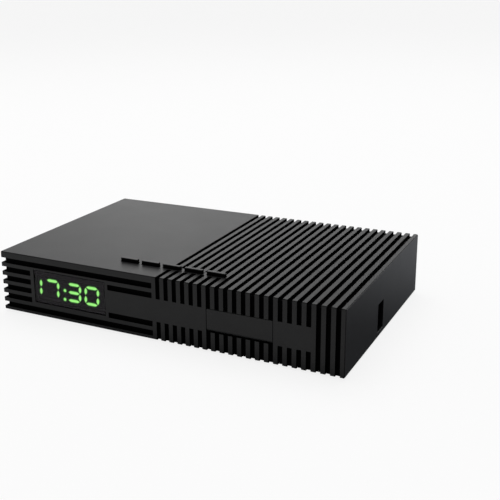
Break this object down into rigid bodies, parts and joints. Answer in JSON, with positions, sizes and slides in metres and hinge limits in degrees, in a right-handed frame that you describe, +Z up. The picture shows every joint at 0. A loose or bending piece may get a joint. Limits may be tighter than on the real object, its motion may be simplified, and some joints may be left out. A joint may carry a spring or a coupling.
{
  "type": "satellite television receiver",
  "caption": "Flat black set-top box, plain and ribbed halves, clock display, bar keys, drop-down flap, side socket and rear sockets.",
  "frame": {"origin": "middle of the bounding box of the whole part, on the surface that the feet stand on", "axes": "+X to the right seen from the front, +Y from the front to the back, +Z up"},
  "size_m": [0.22, 0.148, 0.0412],
  "materials": {
    "shell_plastic": "fine matt moulded grain",
    "base_plastic": "fine matt moulded grain",
    "panel_paint": "matt black paint on sheet steel",
    "smoked_window": "clear smoked, polished",
    "lit_segments": "lit green",
    "black_part": "plain moulded",
    "board_laminate": "satin green mask",
    "chip_resin": "matt resin",
    "socket_metal": "bright plated",
    "sink_metal": "dull as extruded",
    "capacitor_can": "satin with a dark sleeve",
    "orange_insert": "satin",
    "cable_ribbon": "satin",
    "foot_rubber": "matt",
    "screw_steel": "zinc plated"
  },
  "bodies": {
    "housing": {"av_socket": "black_part", "base_tray": "base_plastic", "bay_plate": "black_part", "board_screw_1": "screw_steel", "board_screw_2": "screw_steel", "board_screw_3": "screw_steel", "board_screw_4": "screw_steel", "cable_header": "black_part", "capacitor_1": "capacitor_can", "capacitor_2": "capacitor_can", "capacitor_3": "capacitor_can", "case_screw_front_left": "screw_steel", "case_screw_front_right": "screw_steel", "case_screw_rear_left": "screw_steel", "case_screw_rear_right": "screw_steel", "coil": "chip_resin", "dc_socket": "black_part", "digital_audio_socket": "orange_insert", "display_module": "black_part", "display_segments": "lit_segments", "display_window": "smoked_window", "flat_cable": "cable_ribbon", "foot_front_left": "foot_rubber", "foot_front_right": "foot_rubber", "foot_rear_left": "foot_rubber", "foot_rear_right": "foot_rubber", "front_board": "board_laminate", "front_board_screw_1": "screw_steel", "front_board_screw_2": "screw_steel", "front_board_screw_3": "screw_steel", "front_usb_socket": "socket_metal", "hdmi_socket": "socket_metal", "heat_sink": "sink_metal", "ir_receiver": "black_part", "key_switch_1": "socket_metal", "key_switch_2": "socket_metal", "key_switch_3": "socket_metal", "key_switch_4": "socket_metal", "key_switch_5": "socket_metal", "lan_socket": "socket_metal", "lnb_in_socket": "socket_metal", "lnb_out_socket": "socket_metal", "main_board": "board_laminate", "memory_chip_1": "chip_resin", "memory_chip_2": "chip_resin", "processor": "chip_resin", "rear_panel": "panel_paint", "rear_screw_1": "screw_steel", "rear_screw_2": "screw_steel", "side_usb_socket": "socket_metal", "top_cover": "shell_plastic", "tuner_can": "socket_metal", "usb_board": "board_laminate"},
    "flap": {"front_flap": "shell_plastic"},
    "key_1_body": {"key_1": "shell_plastic"},
    "key_2_body": {"key_2": "shell_plastic"},
    "key_3_body": {"key_3": "shell_plastic"},
    "key_4_body": {"key_4": "shell_plastic"},
    "key_5_body": {"key_5": "shell_plastic"}
  },
  "joints": [
    {"name": "flap_hinge", "type": "hinge", "parent": "housing", "child": "flap", "pos_m": [0.05111, -0.072, 0.01486], "axis": [1, 0, 0], "range_deg": [0, 90]},
    {"name": "key_1_press", "type": "slide", "parent": "housing", "child": "key_1_body", "axis": [0, 0, -1], "range_m": [0, 0.0005], "stiffness_N_per_m": 3000},
    {"name": "key_2_press", "type": "slide", "parent": "housing", "child": "key_2_body", "axis": [0, 0, -1], "range_m": [0, 0.0005], "stiffness_N_per_m": 3000},
    {"name": "key_3_press", "type": "slide", "parent": "housing", "child": "key_3_body", "axis": [0, 0, -1], "range_m": [0, 0.0005], "stiffness_N_per_m": 3000},
    {"name": "key_4_press", "type": "slide", "parent": "housing", "child": "key_4_body", "axis": [0, 0, -1], "range_m": [0, 0.0005], "stiffness_N_per_m": 3000},
    {"name": "key_5_press", "type": "slide", "parent": "housing", "child": "key_5_body", "axis": [0, 0, -1], "range_m": [0, 0.0005], "stiffness_N_per_m": 3000}
  ]
}
